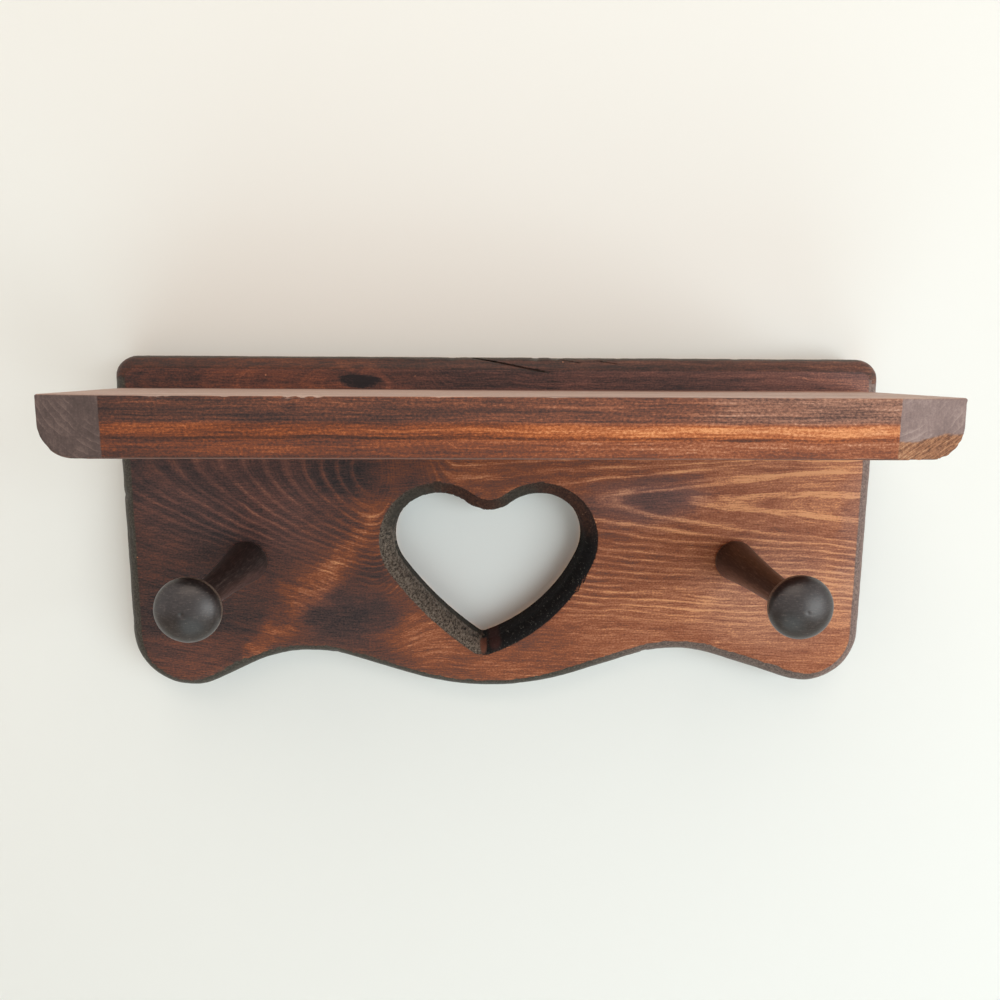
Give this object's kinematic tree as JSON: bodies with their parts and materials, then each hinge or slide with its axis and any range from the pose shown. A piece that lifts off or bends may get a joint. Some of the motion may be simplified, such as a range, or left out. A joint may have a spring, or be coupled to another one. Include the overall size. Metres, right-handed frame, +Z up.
{
  "type": "shelf peg rail",
  "caption": "Small wall rack: sawn board with a heart cut-out and wavy lower edge, a shelf with tapered ends, and turned pegs below.",
  "frame": {"origin": "middle of the line between the entries of the keyhole hangers, on the back plane of the board", "axes": "+X along the board to the right as seen from the room, +Y into the wall, +Z up"},
  "size_m": [0.311, 0.116, 0.1402],
  "materials": {
    "board_wood": "red-brown stain under thin satin wax, worn on the rounded edges",
    "shelf_wood": "red-brown stain under thin satin wax",
    "peg_wood": "dark brown stain, satin",
    "plate_steel": "zinc plated",
    "screw_steel": "yellow zinc plated"
  },
  "bodies": {
    "root": {"back_board": "board_wood", "shelf_board": "shelf_wood", "left_peg": "peg_wood", "right_peg": "peg_wood", "left_shelf_screw": "screw_steel", "centre_shelf_screw": "screw_steel", "right_shelf_screw": "screw_steel", "left_keyhole_plate": "plate_steel", "left_plate_upper_screw": "screw_steel", "left_plate_lower_screw": "screw_steel", "right_keyhole_plate": "plate_steel", "right_plate_upper_screw": "screw_steel", "right_plate_lower_screw": "screw_steel"}
  },
  "joints": []
}
